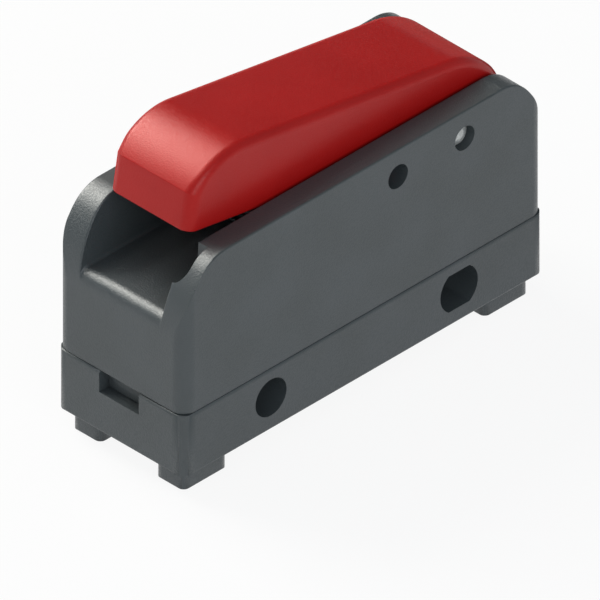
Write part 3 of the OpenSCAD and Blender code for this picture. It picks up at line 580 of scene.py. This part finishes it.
    # Pocket in the near cheek
    tall = np.linspace(0, 1, 9)
    bay_wall = xyz(x[bays, None], -bay_side[bays, None], FLOOR + (z[bays, None] - FLOOR) * tall)
    skin.grid(bay_wall)
    curb_line = np.stack([np.zeros_like(run), -(curb + run), FLOOR + rise], -1)
    skin.flat(np.concatenate([curb_line + (-POCKET_FRONT, 0, 0), bay_wall[0, ::-1]]))
    rear_rim = rear_cheek[0, RIM_STEPS::-1]
    skin.flat(np.concatenate([curb_line + (-POCKET_END, 0, 0), rear_rim, bay_wall[-1, -2::-1]]))

    # Inner and outer faces of the cheeks, with the pin holes
    dip = np.stack([sill_x[:, -1], sill_z[:, -1]], -1)
    front_dip = (dip * (-1, 1))[:0:-1]
    ledge = FLOOR + TROUGH_TURN
    breaks = [(SLOT_REAR, ledge), (SLOT_FRONT, ledge)]
    rear = rows - step
    far_line, near_line, side_line = [
        top_line + turn[:, None] * inward for turn in (inner_turn, near_turn, outer_turn)]
    far_face = np.concatenate([far_line[step:rear], dip[1:], breaks, front_dip])
    near_front = np.concatenate([near_line[step:pocket + 1], [(-POCKET_FRONT, ledge)], front_dip])
    near_rear = np.concatenate([near_line[pocket_end:rear], dip[1:], breaks, [(-POCKET_END, ledge)]])
    share = (half_z[:foot + 1] - FOOT) / (half_z[foot] - FOOT)
    tower = FOOT + share * (half_z[corner] - FOOT)
    post = np.stack([np.full(foot + 1, -half_x[corner]), tower], -1)
    side_face = np.concatenate([post[:-1], side_line[corner:rows - corner], (post * (-1, 1))[-2::-1]])
    holes = [ring(hole, PIVOT_Z, PIN_HOLE) for hole in PIN_HOLES]
    for side, cheek in ((1, far_face), (-1, near_rear)):
        inner_rings = [on_cheek(hole, side) for hole in holes]
        outer_rings = [at_side(hole, side * SIDE) for hole in holes]
        skin.flat(on_cheek(cheek, side), inner_rings)
        skin.flat(at_side(side_face, side * SIDE), outer_rings)
        for inner, outer in zip(inner_rings, outer_rings):
            skin.band(outer, inner)
    skin.flat(on_cheek(near_front, -1))

    # Round corners of the case
    edge = slice(foot, corner + 1)
    for end in BOTH:
        for side in BOTH:
            skin.grid(xyz(end * half_x[edge, None], side * flank(half_x[edge])[:, None],
                          FOOT + share * (half_z[edge, None] - FOOT)))

    # Parting face, with a quarter round at the seam
    turn = np.stack([half_x[edge], flank(half_x[edge])], -1)
    outer_line = np.linspace(FLANK, toe, RIM_STEPS + 1)
    front_line = np.concatenate([outer_line[:-1], toe * plank[::-1], -outer_line[-2::-1]])
    end_line = np.stack([np.full(len(front_line), END), front_line], -1)
    quarter = np.concatenate([turn[::-1], end_line[1:-1], turn * (1, -1)])
    round_way = (turn - (END - CORNER_TURN, FLANK)) / CORNER_TURN
    end_way = np.tile((1.0, 0.0), (len(end_line) - 2, 1))
    facing = np.concatenate([round_way[::-1], end_way, round_way * (1, -1)])
    parting = np.concatenate([quarter, (quarter * (-1, 1))[::-1]])
    facing = np.concatenate([facing, (facing * (-1, 1))[::-1]])
    tuck = [level(parting - SEAM_TURN * (1 - np.cos(a)) * facing, FOOT - SEAM_TURN * np.sin(a))
            for a in swing]
    skin.band(*tuck)
    room = plan_ring(END - WALL, SIDE - WALL, CORNER_TURN / 2)
    skin.flat(tuck[-1], [level(room, SEAM)])

    # Room inside, plunger guide and slots
    skin.band(level(room, SEAM), level(room, DECK_UNDER))
    slot_plan = np.array([(SLOT_FRONT, SLOT_IN), (SLOT_REAR, SLOT_IN),
                          (SLOT_REAR, SLOT_OUT), (SLOT_FRONT, SLOT_OUT)])
    openings = [collar] + [slot_plan * (1, side) for side in BOTH]
    skin.flat(level(room, DECK_UNDER), [level(opening, DECK_UNDER) for opening in openings])
    guide_end = DECK_UNDER - GUIDE_LENGTH
    skin.band(level(collar, DECK_UNDER), level(collar, guide_end),
              level(guide, guide_end), level(guide, FLOOR))
    lip = np.stack([curb + run, FLOOR + rise], -1)[past_slot::-1]
    cut = np.concatenate([[(SLOT_IN, DECK_UNDER), (SLOT_OUT, DECK_UNDER)], lip, [(SLOT_IN, FLOOR)]])
    for side in BOTH:
        for y, high in ((SLOT_IN, FLOOR), (SLOT_OUT, lip[0, 1])):
            skin.grid(xyz(np.array([SLOT_FRONT, SLOT_REAR]), side * y, np.array([[DECK_UNDER], [high]])))
        for slot_x in (SLOT_FRONT, SLOT_REAR):
            skin.flat(np.insert(cut * (side, 1), 0, slot_x, 1))

    # Latch tongues
    for end in BOTH:
        bar(skin, LATCH * (end, 1), -LATCH_HALF, LATCH_HALF)
    return skin.mesh("housing_skin")


housing = show("housing_skin", housing_skin(), "case", CASE, ["upper_housing"], sharp=22)
even_shading(housing)


# Button: sizes along, across and up from its pivot, and in the shared frame for the spring seat and stops

CROWN, SKIRT, HALF, BUTTON_WALL = 6.6, 1.55, 5.45, 1.5
NOSE_RADIUS, NOSE_LENGTH, FRONT = 7.8, 6.8, -34.45
REAR_RADIUS, REAR_LENGTH, REAR = 10.0, 8.16, 8.3
CORNER, EDGE, EDGE_FADE = 1.3, 0.95, 2.5
KINK, INNER_KINK, ROOM_KINK = 0.06, 0.03, 0.1
FACE_ROWS, KINK_ROWS, ARC_ROWS, TOP_ROWS = 9, 7, 41, 23
EDGE_ROW = FACE_ROWS + KINK_ROWS // 2
BORE, BOSS, BOSS_REACH = 1.35, 2.5, 1.2
RIB = np.array([(-7.2, -2.2), (-2.8, -2.2), (-2.8, 5.85), (-7.2, 5.85)])
RIB_HALF = 1.4
SEAT, STUD_LOW, SEAT_LOW, SEAT_HIGH = 3.22, 29.55, 30.85, 32.49
STOP = np.array([(-0.27, 17.74), (1.88, 17.74), (1.88, 25.6), (0.58, 25.6), (0.58, 18.59), (-0.27, 18.59)])
STOP_IN, STOP_OUT = 4.15, 5.15


def in_button(view, y):
    """Points of the tilted button's side view at a place across, turned about the pivot into the frame."""
    along, up = view[..., 0], view[..., 1]
    x = PIVOT_X + along * np.cos(TILT) + up * np.sin(TILT)
    z = PIVOT_Z - along * np.sin(TILT) + up * np.cos(TILT)
    return xyz(x, y, z)


def end_curve(length, radius, depth, kink):
    """One end of the side view, from the middle of its arc and moved in by depth: up the straight face,
    over its upper edge by a parabola of size kink, and along the arc to the top."""
    run, turn = length - depth, radius - depth
    corner = np.array([run, np.sqrt(turn ** 2 - run ** 2)])
    rise = np.linspace(radius - CROWN - SKIRT, corner[1] - kink, FACE_ROWS)
    face = np.stack([np.full_like(rise, run), rise], -1)
    a = np.linspace(np.arcsin(run / turn) - kink / turn, 0, ARC_ROWS)
    arc = turn * np.stack([np.sin(a), np.cos(a)], -1)
    u = np.linspace(0, 1, KINK_ROWS + 2)[1:-1, None]
    bend = (1 - u) ** 2 * face[-1] + 2 * u * (1 - u) * corner + u ** 2 * arc[0]
    return np.concatenate([face, bend, arc])


def side_view(depth, kink):
    """Side view of the button, moved in by depth: the front end, the flat top and the rear end."""
    nose_middle = np.array([FRONT + NOSE_LENGTH, CROWN - NOSE_RADIUS])
    rear_middle = np.array([REAR - REAR_LENGTH, CROWN - REAR_RADIUS])
    nose = nose_middle + end_curve(NOSE_LENGTH, NOSE_RADIUS, depth, kink) * (-1, 1)
    rear = rear_middle + end_curve(REAR_LENGTH, REAR_RADIUS, depth, kink)
    w = np.linspace(0, 1, TOP_ROWS + 2)[1:-1, None]
    return np.concatenate([nose, nose[-1] + w * (rear[-1] - nose[-1]), rear[::-1]])


def button_skin():
    """Rocking button. Its outside is the side view carried across the width: each row leaves the
    outline by a quarter circle at both ends, so that the top edges and the corners are round.
    Its inside is the side view moved in by the wall. Flat faces with a bore close both sides."""
    skin = Skin()
    outer = side_view(0.0, KINK)
    length = np.append(0, np.cumsum(np.linalg.norm(np.diff(outer, axis=0), axis=1)))
    past_edge = np.minimum(length - length[EDGE_ROW], length[-1 - EDGE_ROW] - length)
    radius = CORNER + (EDGE - CORNER) * ease(past_edge / EDGE_FADE)
    part = ((radius - EDGE) / (CORNER - EDGE))[:, None]
    inner = side_view(CORNER, INNER_KINK) * part + side_view(EDGE, INNER_KINK) * (1 - part)
    turn = np.linspace(0, np.pi / 2, 11)
    line = outer[:, None] + (inner - outer)[:, None] * (1 - np.cos(turn))[:, None]
    y = HALF - radius[:, None] * (1 - np.sin(turn))
    rows = np.concatenate([in_button(line, -y)[:, ::-1], in_button(line, y)], 1)
    skin.grid(rows)
    hollow = HALF - BUTTON_WALL
    room = side_view(BUTTON_WALL, ROOM_KINK)
    room_rows = np.stack([in_button(room, -hollow), in_button(room, hollow)], 1)
    skin.grid(room_rows)
    sole, opening = [np.concatenate([sheet[0], sheet[-1][::-1]]) for sheet in (rows, room_rows)]
    skin.flat(sole, [opening])

    # Sides, with a boss round the bore
    bore, boss, boss_end = ring(0, 0, BORE), ring(0, 0, BOSS), hollow - BOSS_REACH
    for side in BOTH:
        skin.flat(in_button(line[:, -1], side * HALF), [in_button(bore, side * HALF)])
        skin.flat(in_button(room, side * hollow), [in_button(boss, side * hollow)])
        skin.band(in_button(boss, side * hollow), in_button(boss, side * boss_end),
                  in_button(bore, side * boss_end), in_button(bore, side * HALF))

    # Rib over the plunger, spring seat and stops, each let into the roof or a wall
    bar(skin, in_button(RIB, 0)[:, ::2], -RIB_HALF, RIB_HALF)
    seat, stud = ring(SPRING_X, 0, SEAT), ring(SPRING_X, 0, SPIGOT)
    discs = [level(stud, STUD_LOW), level(stud, SEAT_LOW), level(seat, SEAT_LOW), level(seat, SEAT_HIGH)]
    skin.band(*discs)
    skin.flat(discs[0])
    skin.flat(discs[-1])
    for side in BOTH:
        bar(skin, STOP, side * STOP_IN, side * STOP_OUT)
    return skin.mesh("button_skin")


button = show("button_skin", button_skin(), "button", RED, ["rocker_button"], sharp=24)
soften(button, 0.12, angle=50)


# Return spring, with closed end turns

TURNS, WIRE, COIL_MEAN, COIL_HEIGHT = 6, 0.7, 2.75, 11.0


def coil():
    """Return spring: a round wire carried along a helix whose end turns lie closed."""
    at = np.linspace(0, TURNS, TURNS * 40 + 1)
    rise = WIRE / 2 + WIRE * (np.minimum(at, 1) + np.maximum(at - TURNS + 1, 0))
    rise = rise + (COIL_HEIGHT - 3 * WIRE) * np.clip((at - 1) / (TURNS - 2), 0, 1)
    a = 2 * np.pi * at[:, None]
    b = np.linspace(0, 2 * np.pi, 17)
    r = COIL_MEAN + WIRE / 2 * np.cos(b)
    wire = xyz(SPRING_X + r * np.cos(a), r * np.sin(a), FLOOR + rise[:, None] + WIRE / 2 * np.sin(b))
    skin = Skin()
    skin.grid(wire)
    skin.flat(wire[0, :-1])
    skin.flat(wire[-1, :-1])
    return skin.mesh("coil_spring")


spring = show("coil_spring", coil(), None, SPRING_STEEL, ["return_spring"])
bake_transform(spring)


# Floor, light and camera

PAPER, LIFT = 0.9, 0.9
GROUND_HALF, GROUND_DROP = 1500.0, 0.02


def floor_material():
    """Pale floor: lit as paper is, and lifted to white for the camera and for mirror images."""
    material = bpy.data.materials.new("pale_floor")
    material.use_nodes = True
    tree = material.node_tree
    tree.nodes.clear()
    paper = tree.nodes.new("ShaderNodeBsdfDiffuse")
    paper.inputs["Color"].default_value = (PAPER, PAPER, PAPER, 1)
    white = tree.nodes.new("ShaderNodeEmission")
    white.inputs["Color"].default_value = (1, 1, 1, 1)
    path = tree.nodes.new("ShaderNodeLightPath")
    seen, through = [tree.nodes.new("ShaderNodeMath") for _ in range(2)]
    seen.operation = through.operation = "MAXIMUM"
    part = tree.nodes.new("ShaderNodeMath")
    part.operation = "MULTIPLY"
    part.inputs[1].default_value = LIFT
    mix = tree.nodes.new("ShaderNodeMixShader")
    out = tree.nodes.new("ShaderNodeOutputMaterial")
    link(tree, path.outputs["Is Camera Ray"], seen.inputs[0])
    link(tree, path.outputs["Is Glossy Ray"], seen.inputs[1])
    link(tree, seen.outputs[0], through.inputs[0])
    link(tree, path.outputs["Is Transmission Ray"], through.inputs[1])
    link(tree, through.outputs[0], part.inputs[0])
    link(tree, part.outputs[0], mix.inputs["Fac"])
    link(tree, paper.outputs[0], mix.inputs[1])
    link(tree, white.outputs[0], mix.inputs[2])
    link(tree, mix.outputs[0], out.inputs["Surface"])
    return material


ground = Skin()
reach = np.linspace(-GROUND_HALF, GROUND_HALF, 3)
ground.grid(xyz(reach[:, None], reach, -GROUND_DROP))
floor_mesh = ground.mesh("floor")
floor_mesh.materials.append(floor_material())
floor = bpy.data.objects.new("floor", floor_mesh)
scene.collection.objects.link(floor)


def studio_world(around, behind):
    """Soft studio surround: bright around the object and dimmer high up behind it."""
    world = bpy.data.worlds.new("studio")
    world.use_nodes = True
    tree = world.node_tree
    place = tree.nodes.new("ShaderNodeTexCoord")
    toward = tree.nodes.new("ShaderNodeVectorMath")
    toward.operation = "DOT_PRODUCT"
    toward.inputs[1].default_value = (0.577, 0.577, 0.577)
    link(tree, place.outputs["Generated"], toward.inputs[0])
    shade = ramp(tree, toward.outputs["Value"], around, behind, start=0.5, end=0.95)
    link(tree, shade, tree.nodes["Background"].inputs["Color"])
    return world


def lamp(name, direction, distance, size, watts, colour, gloss_only=False):
    """Square soft light that shines at the object from a direction, or only shows in its gloss."""
    light = bpy.data.lights.new(name, "AREA")
    light.size = size * MM
    light.energy = watts
    light.color = colour
    holder = bpy.data.objects.new(name, light)
    way = Vector(direction).normalized()
    holder.location = way * distance * MM
    holder.rotation_euler = (-way).to_track_quat("-Z", "Y").to_euler()
    holder.visible_camera = False
    holder.visible_diffuse = not gloss_only
    scene.collection.objects.link(holder)


WARM, COOL = (1.0, 0.985, 0.92), (0.97, 1.0, 1.03)
scene.world = studio_world((0.41, 0.44, 0.465, 1), (0.08, 0.08, 0.085, 1))
lamp("key", (-0.13, 0.71, 0.69), distance=400, size=200, watts=1.12, colour=WARM)
lamp("gloss_softbox", (-0.155, 0.577, 0.8), distance=390, size=400, watts=3.2, colour=WARM, gloss_only=True)
lamp("side_fill", (-0.36, -0.82, 0.42), distance=400, size=200, watts=0.45, colour=COOL)

VIEW_WIDTH, VIEW_DISTANCE = 57.30, 900
VIEW_MIDDLE = Vector((-0.02, 0.02, 6.945))
camera = bpy.data.cameras.new("photo_view")
camera.type = "ORTHO"
camera.ortho_scale = VIEW_WIDTH * MM
camera.clip_end = 10
eye = bpy.data.objects.new("photo_view", camera)
back = Vector((-1, -1, 1)).normalized()
eye.location = VIEW_MIDDLE * MM + back * VIEW_DISTANCE * MM
eye.rotation_euler = (-back).to_track_quat("-Z", "Y").to_euler()
scene.collection.objects.link(eye)
scene.camera = eye
